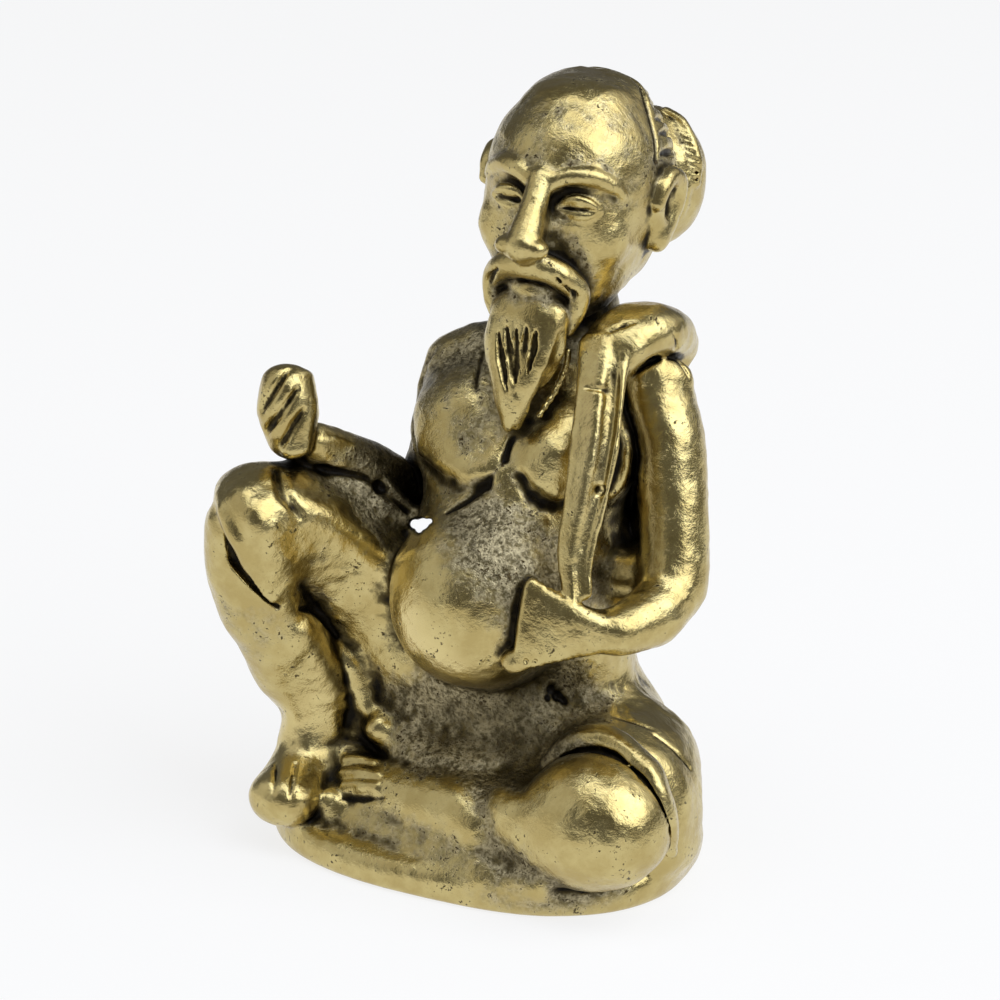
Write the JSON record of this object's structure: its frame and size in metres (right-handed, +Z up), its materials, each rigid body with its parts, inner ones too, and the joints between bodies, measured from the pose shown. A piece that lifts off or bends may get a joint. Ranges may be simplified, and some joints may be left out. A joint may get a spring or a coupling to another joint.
{
  "type": "seated hermit amulet figure",
  "caption": "Small cast brass amulet of a bearded hermit seated on a thin rounded plate, one knee raised, with a hair bun and a shoulder sash.",
  "frame": {"origin": "middle of the base plate's flat underside", "axes": "+Z up through the head, -Y the way the figure faces, +X its left"},
  "size_m": [0.0248, 0.0228, 0.0385],
  "materials": {
    "cast_brass": "cast, hand-polished on the high forms, with dark brown patina left in the recesses"
  },
  "bodies": {
    "root": {"base_plate": "cast_brass", "hip_cloth": "cast_brass", "torso": "cast_brass", "right_thigh": "cast_brass", "right_shin": "cast_brass", "right_foot": "cast_brass", "right_knee_hem": "cast_brass", "left_thigh": "cast_brass", "left_shin": "cast_brass", "left_foot": "cast_brass", "left_knee_hem": "cast_brass", "head": "cast_brass", "hair_cap": "cast_brass", "hair_bun": "cast_brass", "hair_tie": "cast_brass", "left_ear": "cast_brass", "right_ear": "cast_brass", "left_eyebrow": "cast_brass", "right_eyebrow": "cast_brass", "beard": "cast_brass", "moustache": "cast_brass", "left_upper_arm": "cast_brass", "left_forearm": "cast_brass", "left_hand": "cast_brass", "right_upper_arm": "cast_brass", "right_forearm": "cast_brass", "right_hand": "cast_brass", "sash_shoulder": "cast_brass", "sash_front": "cast_brass", "sash_back": "cast_brass"}
  },
  "joints": []
}
